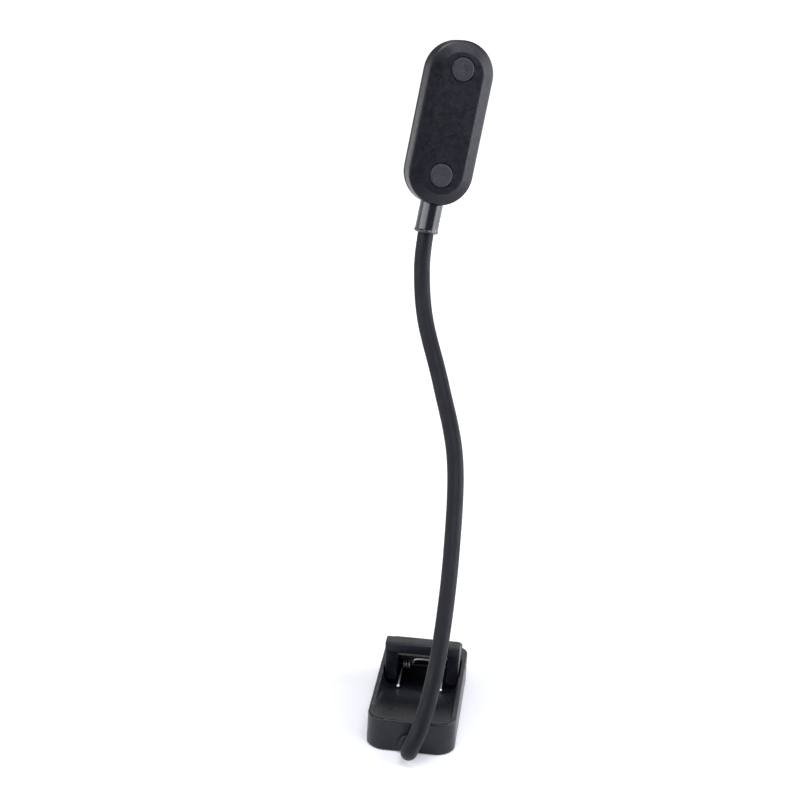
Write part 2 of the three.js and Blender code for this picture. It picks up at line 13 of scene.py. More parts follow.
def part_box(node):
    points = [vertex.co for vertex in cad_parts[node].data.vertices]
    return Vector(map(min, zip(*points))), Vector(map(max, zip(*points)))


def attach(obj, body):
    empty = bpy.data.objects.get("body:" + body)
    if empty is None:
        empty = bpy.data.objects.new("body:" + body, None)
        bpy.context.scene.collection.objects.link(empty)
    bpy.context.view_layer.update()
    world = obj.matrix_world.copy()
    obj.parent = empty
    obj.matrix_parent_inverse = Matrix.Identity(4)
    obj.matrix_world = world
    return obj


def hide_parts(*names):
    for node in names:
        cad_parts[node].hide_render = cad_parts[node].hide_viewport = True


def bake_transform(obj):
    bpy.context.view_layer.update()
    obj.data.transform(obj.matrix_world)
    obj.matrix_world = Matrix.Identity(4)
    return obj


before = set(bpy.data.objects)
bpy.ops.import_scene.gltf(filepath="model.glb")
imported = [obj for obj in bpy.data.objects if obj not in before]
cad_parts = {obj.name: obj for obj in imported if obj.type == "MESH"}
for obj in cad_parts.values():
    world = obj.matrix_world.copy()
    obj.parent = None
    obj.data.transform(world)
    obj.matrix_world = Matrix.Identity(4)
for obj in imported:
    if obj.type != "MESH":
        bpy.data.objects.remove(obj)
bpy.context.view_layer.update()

MM = 0.001
X_AXIS, Y_AXIS, Z_AXIS = Vector((1, 0, 0)), Vector((0, 1, 0)), Vector((0, 0, 1))


def span(node):
    """Lowest and highest corner of a CAD node, in millimetres."""
    lo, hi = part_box(node)
    return lo / MM, hi / MM


# ---------------------------------------------------------------- sizes

BASE_LO, BASE_HI = span("base_housing")
HALF_W = BASE_HI.x
LENGTH = BASE_HI.y - BASE_LO.y
HEIGHT = BASE_HI.z
REAR = BASE_LO.y
REAR_CORNER = 8.5
FRONT_CORNER = 7.0
EDGE = 1.0
WALL = 1.9
RIM = 2.2
SCOOP_START = 0.8
SCOOP_END = 46.8
SCOOP_DEPTH = 6.5
SCOOP_CURVE = 1.25
POCKET_END = 63.2
POCKET_DEPTH = 10.2

PIN_LO, PIN_HI = span("hinge_pin")
HINGE = (PIN_LO + PIN_HI) / 2
PIN_R = (PIN_HI.z - PIN_LO.z) / 2
BORE_R = PIN_R + 0.2
CLEAR = 0.3

NECK_R = 3.75
SLEEVE_BORE_R = 2.8
CORE_R = 2.5
EXIT_X, EXIT_Z = 0.6, 4.9
BEND_AT = [38.0, 84.0, 130.0, 176.0, 222.0]

HEAD_FOOT = Vector((-14.9, 70.3, 206.6))
HEAD_UP = Vector((0.132, 0.152, 0.98)).normalized()
HEAD_SIDE = HEAD_UP.cross(Vector((0.364, -0.9265, 0.095))).normalized()
HEAD_BACK = HEAD_SIDE.cross(HEAD_UP)
HEAD_W = 30.66
HEAD_L = 75.0
HEAD_MID = 50.8
RIM_Z = 4.6
CREST_Z = 6.2
CHAMFER_W = 5.2
SHELL_FRONT_Z = -2.4
BEZEL_FRONT_Z = -5.4
SHELL_WALL = 1.6
BEZEL_LIP = 2.5
COLLAR_R = 5.7
COLLAR_L = 13.1
SPIGOT_R = 4.0
SPIGOT_END = 15.2
BUTTON_R = 5.4
BUTTON_UP = {"colour": 27.1, "brightness": 75.4}


def y_at(d):
    """Y of a place d from the rear face."""
    return REAR + d


# ---------------------------------------------------------------- materials


def principled(name, slot, colour, roughness, metallic=0.0, **sockets):
    """A new material; the slot argument is not used. Sockets are the shader's own, spaces as underscores."""
    m = bpy.data.materials.new(name)
    m.use_nodes = True
    tree = m.node_tree
    shader = tree.nodes["Principled BSDF"]
    shader.inputs["Base Color"].default_value = (*colour, 1)
    shader.inputs["Roughness"].default_value = roughness
    shader.inputs["Metallic"].default_value = metallic
    for key, value in sockets.items():
        shader.inputs[key.replace("_", " ")].default_value = value
    where = tree.nodes.new("ShaderNodeTexCoord")
    return m, tree, shader, where


def noise(tree, where, scale, detail=2.0, roughness=0.5, stretch=None):
    n = tree.nodes.new("ShaderNodeTexNoise")
    n.inputs["Scale"].default_value = scale
    n.inputs["Detail"].default_value = detail
    n.inputs["Roughness"].default_value = roughness
    if stretch:
        m = tree.nodes.new("ShaderNodeMapping")
        m.inputs["Scale"].default_value = stretch
        tree.links.new(where.outputs["Object"], m.inputs["Vector"])
        tree.links.new(m.outputs["Vector"], n.inputs["Vector"])
    else:
        tree.links.new(where.outputs["Object"], n.inputs["Vector"])
    return n.outputs["Fac"]


def remap(tree, value, lo, hi, start=0.3, end=0.7):
    """Runs from lo to hi while value goes from start to end, and stays level outside."""
    r = tree.nodes.new("ShaderNodeMapRange")
    r.inputs["From Min"].default_value = start
    r.inputs["From Max"].default_value = end
    r.inputs["To Min"].default_value = lo
    r.inputs["To Max"].default_value = hi
    tree.links.new(value, r.inputs["Value"])
    return r.outputs["Result"]


def combine(tree, a, b, operation="MULTIPLY"):
    """Two values multiplied, or joined by another operation."""
    n = tree.nodes.new("ShaderNodeMath")
    n.operation = operation
    tree.links.new(a, n.inputs[0])
    tree.links.new(b, n.inputs[1])
    return n.outputs["Value"]


def mix(tree, factor, a, b):
    n = tree.nodes.new("ShaderNodeMix")
    n.data_type = "RGBA"
    tree.links.new(factor, n.inputs["Factor"])
    for value, socket in ((a, n.inputs["A"]), (b, n.inputs["B"])):
        if isinstance(value, (tuple, list)):
            socket.default_value = (*value, 1)
        else:
            tree.links.new(value, socket)
    return n.outputs["Result"]


def bumped(tree, shader, *layers):
    """Stacks bump layers: (height socket, strength, distance in mm)."""
    normal = None
    for height, strength, distance in layers:
        b = tree.nodes.new("ShaderNodeBump")
        b.inputs["Strength"].default_value = strength
        b.inputs["Distance"].default_value = distance * MM
        tree.links.new(height, b.inputs["Height"])
        if normal:
            tree.links.new(normal, b.inputs["Normal"])
        normal = b.outputs["Normal"]
    tree.links.new(normal, shader.inputs["Normal"])


def spark_grain(tree, where, scale):
    """The pitted texture of a spark-eroded mould, 0 to 1."""
    v = tree.nodes.new("ShaderNodeTexVoronoi")
    v.feature = "SMOOTH_F1"
    v.inputs["Scale"].default_value = scale
    tree.links.new(where.outputs["Object"], v.inputs["Vector"])
    return v.outputs["Distance"]


def shades(colour, dark, light):
    return tuple(c * dark for c in colour), tuple(c * light for c in colour)


def moulded(name, slot, colour, roughness, grain=0.35, grain_scale=3600.0, **sockets):
    """Moulded plastic: cloudy tone, pale dust here and there, rubbed gloss and a fine grain."""
    m, tree, shader, where = principled(name, slot, colour, roughness, **sockets)
    cloud = noise(tree, where, 70, 3, 0.6)
    rub = noise(tree, where, 420, 4, 0.62)
    fine = noise(tree, where, grain_scale * 1.7, 1, 0.5)
    pits = spark_grain(tree, where, grain_scale)
    tone = mix(tree, remap(tree, cloud, 0, 1, 0.35, 0.65), *shades(colour, 0.8, 1.25))
    dust = noise(tree, where, 1150, 3, 0.8)
    dusty = tuple(c * 2.2 + 0.012 for c in colour)
    specked = mix(tree, remap(tree, dust, 0, 1, 0.52, 0.74), tone, dusty)
    tree.links.new(specked, shader.inputs["Base Color"])
    tree.links.new(remap(tree, rub, roughness - 0.07, roughness + 0.08), shader.inputs["Roughness"])
    mottle = noise(tree, where, 1250, 2, 0.6)
    bumped(tree, shader, (rub, 0.1, 0.02), (mottle, 0.3 * grain, 0.04),
           (pits, 0.3 * grain, 0.015), (fine, grain * 0.8, 0.01))
    return m


def rubber(name, slot, colour, roughness):
    m, tree, shader, where = principled(
        name, slot, colour, roughness, Sheen_Weight=0.03, Sheen_Roughness=0.4,
        Sheen_Tint=(0.72, 0.75, 0.8, 1), Specular_IOR_Level=0.2)
    cloud = noise(tree, where, 90, 3, 0.6)
    skin = noise(tree, where, 1500, 3, 0.6)
    streak = noise(tree, where, 260, 3, 0.65, (1.0, 1.0, 0.25))
    dust = noise(tree, where, 1400, 2, 0.7)
    tone = mix(tree, remap(tree, cloud, 0, 1), *shades(colour, 0.82, 1.2))
    specks = mix(tree, remap(tree, dust, 0, 1, 0.73, 0.79), tone, (0.16, 0.16, 0.17))
    tree.links.new(specks, shader.inputs["Base Color"])
    tree.links.new(remap(tree, streak, roughness - 0.1, roughness + 0.08), shader.inputs["Roughness"])
    bumped(tree, shader, (streak, 0.12, 0.04), (skin, 0.2, 0.015))
    return m


def metal(name, slot, colour, roughness, stretch=(1, 1, 1), scratch=900.0):
    m, tree, shader, where = principled(name, slot, colour, roughness, 1.0)
    cloud = noise(tree, where, 160, 3, 0.6)
    lines = noise(tree, where, scratch, 4, 0.7, stretch)
    tone = mix(tree, remap(tree, cloud, 0, 1), tuple(c * 0.86 for c in colour), colour)
    tree.links.new(tone, shader.inputs["Base Color"])
    tree.links.new(remap(tree, lines, roughness - 0.06, roughness + 0.12), shader.inputs["Roughness"])
    bumped(tree, shader, (lines, 0.18, 0.008))
    return m


def glossy(name, slot, colour, roughness):
    m, tree, shader, where = principled(
        name, slot, colour, roughness, Coat_Weight=0.5, Coat_Roughness=0.12, Specular_IOR_Level=0.45)
    cloud = noise(tree, where, 130, 3, 0.6)
    wipe = noise(tree, where, 520, 4, 0.7, (1.0, 1.0, 0.2))
    ripple = noise(tree, where, 210, 1, 0.4)
    tone = mix(tree, remap(tree, cloud, 0, 1), *shades(colour, 0.85, 1.2))
    tree.links.new(tone, shader.inputs["Base Color"])
    tree.links.new(remap(tree, wipe, roughness - 0.03, roughness + 0.09), shader.inputs["Roughness"])
    bumped(tree, shader, (ripple, 0.1, 0.03), (wipe, 0.05, 0.005))
    return m


def diffusing(name, slot):
    m, tree, shader, where = principled(
        name, slot, (0.86, 0.86, 0.84), 0.3, Subsurface_Weight=0.4, Subsurface_Scale=0.002)
    cloud = noise(tree, where, 110, 2, 0.5)
    dimples = spark_grain(tree, where, 900)
    tone = mix(tree, remap(tree, cloud, 0, 1), (0.8, 0.8, 0.77), (0.88, 0.88, 0.86))
    tree.links.new(tone, shader.inputs["Base Color"])
    tree.links.new(remap(tree, cloud, 0.24, 0.38), shader.inputs["Roughness"])
    bumped(tree, shader, (dimples, 0.4, 0.05))
    return m


def circuit(name, slot):
    m, tree, shader, where = principled(name, slot, (0.02, 0.12, 0.05), 0.4)
    weave = noise(tree, where, 1800, 2, 0.5, (1, 0.2, 1))
    traces = noise(tree, where, 380, 0, 0.5)
    tone = mix(tree, remap(tree, traces, 0, 1, 0.47, 0.53), (0.012, 0.09, 0.035), (0.03, 0.16, 0.07))
    tree.links.new(tone, shader.inputs["Base Color"])
    tree.links.new(remap(tree, weave, 0.3, 0.5), shader.inputs["Roughness"])
    bumped(tree, shader, (traces, 0.3, 0.03), (weave, 0.2, 0.01))
    return m


def foil(name, slot):
    m, tree, shader, where = principled(name, slot, (0.55, 0.57, 0.6), 0.32, 0.75)
    crease = noise(tree, where, 300, 4, 0.6)
    tone = mix(tree, remap(tree, crease, 0, 1), (0.45, 0.47, 0.5), (0.64, 0.66, 0.68))
    tree.links.new(tone, shader.inputs["Base Color"])
    tree.links.new(remap(tree, crease, 0.25, 0.45), shader.inputs["Roughness"])
    bumped(tree, shader, (crease, 0.5, 0.08))
    return m


def phosphor(name, slot):
    m, tree, shader, where = principled(name, slot, (0.8, 0.62, 0.16), 0.35, Coat_Weight=0.5)
    grain = noise(tree, where, 4000, 2, 0.5)
    tone = mix(tree, remap(tree, grain, 0, 1), (0.72, 0.52, 0.1), (0.86, 0.72, 0.24))
    tree.links.new(tone, shader.inputs["Base Color"])
    tree.links.new(remap(tree, grain, 0.28, 0.45), shader.inputs["Roughness"])
    bumped(tree, shader, (grain, 0.25, 0.01))
    return m


SHELL = moulded("shell_black", "shell_plastic", (0.0034, 0.004, 0.0068), 0.33, 1.0, 2600.0,
                Specular_IOR_Level=0.34)
COVER = moulded("cover_black", "shell_plastic", (0.006, 0.007, 0.011), 0.55, 0.5, 2600.0)
CAP = moulded("button_black", "button_plastic", (0.0135, 0.0145, 0.019), 0.48, 1.0, 2200.0,
              Specular_IOR_Level=0.4)
GLOSS = glossy("collar_gloss_black", "collar_gloss", (0.005, 0.006, 0.0095), 0.22)
RUBBER = rubber("sleeve_rubber_black", "sleeve_rubber", (0.0034, 0.0041, 0.0066), 0.55)
PAD = rubber("pad_rubber_black", "pad_rubber", (0.012, 0.012, 0.013), 0.75)
STEEL = metal("spring_steel", "steel", (0.86, 0.87, 0.89), 0.32, (4, 1, 4))
# painted highlight: the spring's tips are coloured white for the glint at the wire's ends
TIP_HIGHLIGHT_WHITE = moulded("tip_painted_highlight_white", "steel", (0.8, 0.8, 0.78), 0.4, 0.3)
# the hinge pin is coloured near-black
PIN_NEAR_BLACK = metal("pin_near_black_steel", "steel", (0.035, 0.036, 0.04), 0.42, (1, 5, 5))
PORT = metal("port_metal", "port_metal", (0.55, 0.56, 0.58), 0.28, (1, 6, 1))
BOARD = circuit("board_green", "circuit_board")
CELL = foil("cell_foil", "cell_foil")
LENS = diffusing("diffuser_white", "diffuser")
LED = phosphor("led_phosphor", "led_phosphor")


# ---------------------------------------------------------------- mesh tools

def object_from(bm, name, material, sharp):
    """An object in metres from a closed bmesh in millimetres, facing out, smooth up to an angle."""
    bmesh.ops.recalc_face_normals(bm, faces=bm.faces)
    bmesh.ops.scale(bm, vec=(MM, MM, MM), verts=bm.verts)
    me = bpy.data.meshes.new(name)
    bm.to_mesh(me)
    bm.free()
    ob = bpy.data.objects.new(name, me)
    bpy.context.scene.collection.objects.link(ob)
    if material:
        me.materials.append(material)
    shade(ob, sharp)
    return ob


def new_object(name, verts, faces, material, sharp=32.0, weld=0.002):
    """A mesh object from points in millimetres, with near points welded."""
    bm = bmesh.new()
    made = [bm.verts.new(v) for v in verts]
    for f in faces:
        try:
            bm.faces.new([made[i] for i in f])
        except ValueError:
            continue
    bmesh.ops.remove_doubles(bm, verts=bm.verts, dist=weld)
    bmesh.ops.dissolve_degenerate(bm, edges=bm.edges, dist=weld / 4)
    return object_from(bm, name, material, sharp)


def shade(ob, sharp):
    for p in ob.data.polygons:
        p.use_smooth = True
    ob.data.set_sharp_from_angle(angle=math.radians(sharp))


def settle(ob, sharp=32.0):
    """Applies the object's modifiers to its mesh."""
    bpy.context.view_layer.update()
    dg = bpy.context.evaluated_depsgraph_get()
    me = bpy.data.meshes.new_from_object(ob.evaluated_get(dg))
    ob.modifiers.clear()
    old = ob.data
    ob.data = me
    bpy.data.meshes.remove(old)
    shade(ob, sharp)


def carve(ob, tools, operation="DIFFERENCE", sharp=32.0):
    """Cuts the tools from the object, or joins them to it, one at a time, and drops them."""
    for tool in tools:
        m = ob.modifiers.new("carve", "BOOLEAN")
        m.operation = operation
        m.solver = "EXACT"
        m.object = tool
        settle(ob, sharp)
        mesh = tool.data
        bpy.data.objects.remove(tool)
        bpy.data.meshes.remove(mesh)


def loft(rings, caps=True, loop=False):
    """Quads between rings of equal count; caps close the ends, loop joins last to first."""
    n = len(rings[0])
    verts = [p for r in rings for p in r]
    faces = []
    pairs = [(j, j + 1) for j in range(len(rings) - 1)]
    if loop:
        pairs.append((len(rings) - 1, 0))
    for a, b in pairs:
        for i in range(n):
            k = (i + 1) % n
            faces.append((a * n + i, a * n + k, b * n + k, b * n + i))
    if caps and not loop:
        faces.append(tuple(reversed(range(n))))
        faces.append(tuple((len(rings) - 1) * n + i for i in range(n)))
    return verts, faces


def circle(r, centre, u, v, n):
    turns = [2 * math.pi * i / n for i in range(n)]
    return [centre + u * (r * math.cos(a)) + v * (r * math.sin(a)) for a in turns]


def round_in(r, degrees):
    """Insets of places round a quarter-round of radius r, by their angle from its side."""
    return [r * (1 - math.cos(math.radians(a))) for a in degrees]


def round_off(r, degrees):
    """(inset, distance from the face) of places round an outer edge of radius r."""
    return [(r * (1 - math.cos(math.radians(a))), r * (1 - math.sin(math.radians(a)))) for a in degrees]


def across_axis(axis):
    u = axis.orthogonal().normalized()
    return u, axis.cross(u).normalized()


def lathe(profile, origin, axis, n=64, loop=False):
    """Turns (radius, height) points round an axis."""
    u, v = across_axis(axis)
    rings = [circle(max(r, 0.0), origin + axis * h, u, v, n) for r, h in profile]
    return loft(rings, caps=False, loop=loop)


def rounded(points, radius, steps=5):
    """A closed outline with its corners turned into arcs; radius may be one number per corner."""
    out = []
    n = len(points)
    for i, p in enumerate(points):
        r = radius[i] if isinstance(radius, (list, tuple)) else radius
        p = Vector(p)
        a = Vector(points[i - 1]) - p
        b = Vector(points[(i + 1) % n]) - p
        la, lb = a.length, b.length
        a.normalize()
        b.normalize()
        half = a.angle(b) / 2
        if r <= 0 or half > math.pi / 2 - 0.02:
            out.append((p.x, p.y))
            continue
        t = min(r / math.tan(half), 0.48 * la, 0.48 * lb)
        r = t * math.tan(half)
        centre = p + (a + b).normalized() * (r / math.sin(half))
        v0 = p + a * t - centre
        v1 = p + b * t - centre
        sweep = math.atan2(v0.x * v1.y - v0.y * v1.x, v0.dot(v1))
        for k in range(steps + 1):
            s = sweep * k / steps
            c, q = math.cos(s), math.sin(s)
            out.append((centre.x + v0.x * c - v0.y * q, centre.y + v0.x * q + v0.y * c))
    return out


def inward(outline, amount):
    """An anticlockwise outline moved in by amount."""
    out = []
    n = len(outline)
    for i in range(n):
        p = Vector(outline[i])
        d1 = (p - Vector(outline[i - 1])).normalized()
        d2 = (Vector(outline[(i + 1) % n]) - p).normalized()
        n1 = Vector((-d1.y, d1.x))
        n2 = Vector((-d2.y, d2.x))
        q = p + (n1 + n2) * (amount / max(1 + n1.dot(n2), 0.3))
        out.append((q.x, q.y))
    return out


def anticlockwise(outline):
    area = sum(a[0] * b[1] - b[0] * a[1] for a, b in zip(outline, outline[1:] + outline[:1]))
    return outline if area > 0 else outline[::-1]


def prism(outline, lo, hi, edge, place, steps=4):
    """An outline extruded from lo to hi with rounded rims; place(u, v, h) gives the point."""
    outline = anticlockwise(outline)
    rims = []
    for k in range(steps + 1):
        a = 0.5 * math.pi * k / steps
        rims.append((edge * (1 - math.sin(a)), edge * (1 - math.cos(a))))
    levels = [(i, lo + h) for i, h in rims] + [(i, hi - h) for i, h in reversed(rims)]
    return loft([[place(u, v, h) for u, v in (inward(outline, i) if i else outline)] for i, h in levels])


def stadium(width, length, middle, n=26):
    """Anticlockwise outline of an upright stadium centred on (0, middle)."""
    r = width / 2
    half = length / 2 - r
    turns = [math.pi * k / n for k in range(n + 1)]
    top = [(r * math.cos(a), middle + half + r * math.sin(a)) for a in turns]
    return top + [(-x, 2 * middle - y) for x, y in top]


def rod(r, start, end, n=48, chamfer=0.0):
    """A cutter: a cylinder between two points, flared by chamfer at its first end."""
    axis = (end - start).normalized()
    length = (end - start).length
    profile = [(0, 0), (r + chamfer, 0), (r, chamfer), (r, length), (0, length)]
    return new_object("tool", *lathe(profile, start, axis, n), None)


def crossways(u, v, h):
    """Places a side profile (distance from the rear, height) at x = h."""
    return Vector((h, y_at(u), v))


def finished(ob, body, *nodes):
    """Rides on a body and stands for CAD nodes."""
    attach(ob, body)
    if nodes:
        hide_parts(*nodes)
    return ob


# ---------------------------------------------------------------- base housing

def half_width(d, inset=0.0):
    """Half the plan width at d from the rear face, for the outline moved in by inset."""
    w = HALF_W - inset
    for r, e in ((REAR_CORNER, d - inset), (FRONT_CORNER, LENGTH - d - inset)):
        r = r - inset
        if e < r:
            e = max(e, 0.0)
            w = min(w, HALF_W - inset - r + math.sqrt(max(0.0, r * r - (r - e) ** 2)))
    return w


def plan_depth(x, d):
    """How far a point lies inside the plan outline."""
    r, e = (REAR_CORNER, d) if d < LENGTH / 2 else (FRONT_CORNER, LENGTH - d)
    side = HALF_W - abs(x)
    if side < r and e < r:
        return r - math.hypot(r - side, r - e)
    return min(side, e)


def plan_normal(x, d):
    """Outward plan direction at a point of the outline."""
    rear = d < LENGTH / 2
    r, e = (REAR_CORNER, d) if rear else (FRONT_CORNER, LENGTH - d)
    side = HALF_W - abs(x)
    if side < r and e < r:
        n = Vector((math.copysign(r - side, x), -(r - e) if rear else r - e))
        return n.normalized()
    if side < e:
        return Vector((math.copysign(1, x), 0))
    return Vector((0, -1 if rear else 1))


def quarter(r, u):
    """Height of a quarter-round of radius r at u from its outer side."""
    u = min(max(u, 0.0), r)
    return math.sqrt(max(0.0, r * r - (r - u) ** 2))


def clamp01(t):
    return min(max(t, 0.0), 1.0)


# the scoop's side slopes narrow from its rear to the hinge pocket
SLOPE_WIDE = 7.5
SLOPE_LOSS = 4.5
SLOPE_FROM, SLOPE_OVER = 28, 18

PAD_LO, PAD_HI = span("lower_jaw_pad")
PAD_SEAT = 0.6
PAD_D0 = PAD_LO.y - REAR - CLEAR
PAD_D1 = PAD_HI.y - REAR + CLEAR
PAD_HALF = PAD_HI.x + CLEAR
JAW_ROUND = 0.6
# rows this close together make a step in the height field
STEP = 0.02


def housing_top(x, d):
    """Height of the housing's top: rounded rim, hollow thumb scoop, hinge pocket and pad seat."""
    z = HEIGHT - EDGE + quarter(EDGE, plan_depth(x, d))
    side = HALF_W - RIM - abs(x)
    if d >= SCOOP_END and side <= 0 and d <= POCKET_END + JAW_ROUND:
        z = min(z, HEIGHT - 0.5 + quarter(0.5, -side))
    if side > 0 and SCOOP_START < d < SCOOP_END:
        along = (d - SCOOP_START) / (SCOOP_END - SCOOP_START)
        deep = SCOOP_DEPTH * along ** SCOOP_CURVE
        reach = SLOPE_WIDE - SLOPE_LOSS * clamp01((d - SLOPE_FROM) / SLOPE_OVER)
        start = side ** 3 / (side * side + 0.09)
        t = clamp01(start / reach)
        z = min(z, HEIGHT - deep * math.sqrt(1 - (1 - t) ** 2))
    if side > 0 and SCOOP_END <= d <= POCKET_END:
        z = HEIGHT - POCKET_DEPTH
    if side > 0 and d > POCKET_END:
        z = min(z, HEIGHT - JAW_ROUND + quarter(JAW_ROUND, d - POCKET_END))
    if abs(x) < PAD_HALF and PAD_D0 < d < PAD_D1:
        z = HEIGHT - PAD_SEAT
    return z


def stations(*groups):
    """Sorted places with near-duplicates dropped."""
    out = []
    for s in sorted(x for g in groups for x in g):
        if not out or s - out[-1] > 0.012:
            out.append(s)
    return out


def steps_between(a, b, gap):
    """Even places from a to b, about gap apart."""
    n = max(1, round((b - a) / gap))
    return [a + (b - a) * i / n for i in range(n + 1)]


def grid(start, nx, ny, turned=False):
    """Faces of a grid of numbered points, and the loop of points round its edge."""
    def at(i, j):
        return start + j * nx + i

    faces = []
    for j in range(ny - 1):
        for i in range(nx - 1):
            a, b, c, d = at(i, j), at(i + 1, j), at(i + 1, j + 1), at(i, j + 1)
            faces.append((a, d, c, b) if turned else (a, b, c, d))
    loop = [at(i, 0) for i in range(nx)] + [at(nx - 1, j) for j in range(1, ny)]
    loop += [at(i, ny - 1) for i in range(nx - 2, -1, -1)] + [at(0, j) for j in range(ny - 2, 0, -1)]
    return faces, loop


def ring_faces(outer, inner):
    """Quads between two closed loops of equal count."""
    n = len(outer)
    return [(outer[k], inner[k], inner[(k + 1) % n], outer[(k + 1) % n]) for k in range(n)]


def housing_skin(points, faces):
    """Adds the outside: the top as a height field, the wall and the rounded foot."""
    edge_in = round_in(EDGE, range(0, 91, 15))
    rows = stations(
        edge_in, [LENGTH - v for v in edge_in],
        round_in(REAR_CORNER, range(0, 91, 6)),
        [LENGTH - v for v in round_in(FRONT_CORNER, range(0, 91, 9))],
        steps_between(SCOOP_START, SCOOP_END - STEP, 0.9), [SCOOP_END, 47.4],
        steps_between(48, POCKET_END, 2.5),
        [POCKET_END + STEP] + [POCKET_END + v for v in round_in(JAW_ROUND, (25, 45, 65, 90))],
        [PAD_D0, PAD_D0 + STEP, PAD_D1 - STEP, PAD_D1], steps_between(PAD_D0 + 2, PAD_D1 - 2, 3))
    # close together where the scoop's side slope is steep, wider further in
    inner = [0.02, 0.1, 0.2, 0.32, 0.45, 0.6, 0.8, 1.05, 1.35, 1.7, 2.1, 2.6, 3.2, 3.9,
             4.6, 5.3, 6.1, 6.9, 7.7]
    pad_u = HALF_W - PAD_HALF
    from_side = stations(
        edge_in, [1.3, RIM - 0.5, RIM - 0.38, RIM - 0.22, RIM - 0.1, RIM],
        [RIM + v for v in inner], [pad_u, pad_u + STEP],
        steps_between(RIM + 8.6, HALF_W, 1.0))
    shares = [-(1 - u / HALF_W) for u in from_side] + [1 - u / HALF_W for u in reversed(from_side[:-1])]
    for d in rows:
        w = half_width(d)
        for s in shares:
            points.append(Vector((s * w, y_at(d), housing_top(s * w, d))))
    top_faces, loop = grid(0, len(shares), len(rows))
    faces += top_faces
    # wall down to the rounded foot, then in under it
    levels = [(0, z) for z in (12.5, 10, 7, 4, 2.2, 1.6, EDGE)]
    levels += round_off(EDGE, (18, 36, 54, 72, 90))
    levels += [(1.7, 0)]
    edge_points = [(points[k].x, points[k].y - REAR) for k in loop]
    normals = [plan_normal(x, d) for x, d in edge_points]
    for inset, z in levels:
        ring = []
        for (x, d), n in zip(edge_points, normals):
            ring.append(len(points))
            points.append(Vector((x - n.x * inset, y_at(d) - n.y * inset, z)))
        faces += ring_faces(loop, ring)
        loop = ring
    return loop


def housing_room(points, faces):
    """Adds the room inside, roofed by a profile that follows the scoop and the pocket."""
    roof = [(WALL, 11.8), (12, 11.8), (45.4, 6.9), (45.5, 3.2), (65.0, 3.2), (65.1, 12.8),
            (LENGTH - WALL, 12.8)]

    def roof_at(d):
        for (d0, z0), (d1, z1) in zip(roof, roof[1:]):
            if d0 <= d <= d1:
                return z0 + (z1 - z0) * (d - d0) / (d1 - d0)
        return roof[-1][1]

    rear_r, front_r = REAR_CORNER - WALL, FRONT_CORNER - WALL
    cavity_rows = stations(
        [p[0] for p in roof], steps_between(14, 44, 6), [50, 55, 60, 70],
        [WALL + v for v in round_in(rear_r, range(0, 91, 15))],
        [LENGTH - WALL - v for v in round_in(front_r, range(0, 91, 15))])
    cavity_shares = [-1, -0.75, -0.5, -0.25, 0, 0.25, 0.5, 0.75, 1]
    start = len(points)
    for d in cavity_rows:
        w = half_width(d, WALL)
        for s in cavity_shares:
            points.append(Vector((s * w, y_at(d), roof_at(d))))
    roof_faces, loop = grid(start, len(cavity_shares), len(cavity_rows), True)
    faces += roof_faces
    low = []
    for k in loop:
        low.append(len(points))
        points.append(Vector((points[k].x, points[k].y, 0.2)))
    faces += [(a, b, c, d) for a, d, c, b in ring_faces(loop, low)]
    return low


def housing_cutters():
    """Hinge bores, the charging port's mouth, the light's hole and the neck's hole."""
    reach = Vector((WALL + 2.5, 0, 0))
    port_lo, port_hi = span("usb_c_socket")
    light_lo, light_hi = span("charge_light")
    left = -HALF_W - 1
    tools = []
    for side in (-1, 1):
        out = Vector((side * (HALF_W + 0.6), HINGE.y, HINGE.z))
        tools.append(rod(BORE_R, out, Vector((side * (HALF_W - RIM - 1), HINGE.y, HINGE.z)), 32))
    port_y = (port_lo.y + port_hi.y) / 2
    port_z = (port_lo.z + port_hi.z) / 2
    port_size = (port_hi.z - port_lo.z + 2 * CLEAR, port_hi.y - port_lo.y + 2 * CLEAR)
    mouth = [(v, u) for u, v in stadium(*port_size, 0, 12)]
    # a shallow flare, then the straight hole
    for flare, depth in ((0.25, 1.25), (0.0, 1 + reach.x)):
        outline = [(a * (1 + flare / 4.5), b * (1 + flare / 1.9)) for a, b in mouth]
        tools.append(new_object("tool", *prism(
            outline, left, left + depth, 0, lambda u, v, h: Vector((h, port_y + u, port_z + v)), 1), None))
    light = Vector((left, (light_lo.y + light_hi.y) / 2, (light_lo.z + light_hi.z) / 2))
    light_r = (light_hi.z - light_lo.z) / 2
    tools.append(rod(light_r + CLEAR, light, light + reach, 32))
    neck_in = Vector((EXIT_X, REAR - 1, EXIT_Z))
    tools.append(rod(NECK_R + CLEAR, neck_in, neck_in + Vector((0, 4.5, 0)), 48))
    return tools


def housing():
    points, faces = [], []
    rims = [housing_skin(points, faces), housing_room(points, faces)]
    bm = bmesh.new()
    made = [bm.verts.new(v) for v in points]
    for f in faces:
        bm.faces.new([made[i] for i in f])
    edges = []
    for rim in rims:
        for k, point in enumerate(rim):
            edges.append(bm.edges.get((made[point], made[rim[(k + 1) % len(rim)]])))
    bmesh.ops.bridge_loops(bm, edges=edges)
    ob = object_from(bm, "clip_housing", SHELL, 38)
    carve(ob, housing_cutters(), sharp=38)
    return finished(ob, "base", "base_housing")


# ---------------------------------------------------------------- clip lever

LEVER_HI = span("clip_lever")[1]
LEVER_HALF = 16.9
POST_W = 5.3
LIP_HALF = LEVER_HI.x
LIP_TOP = LEVER_HI.z - 0.2


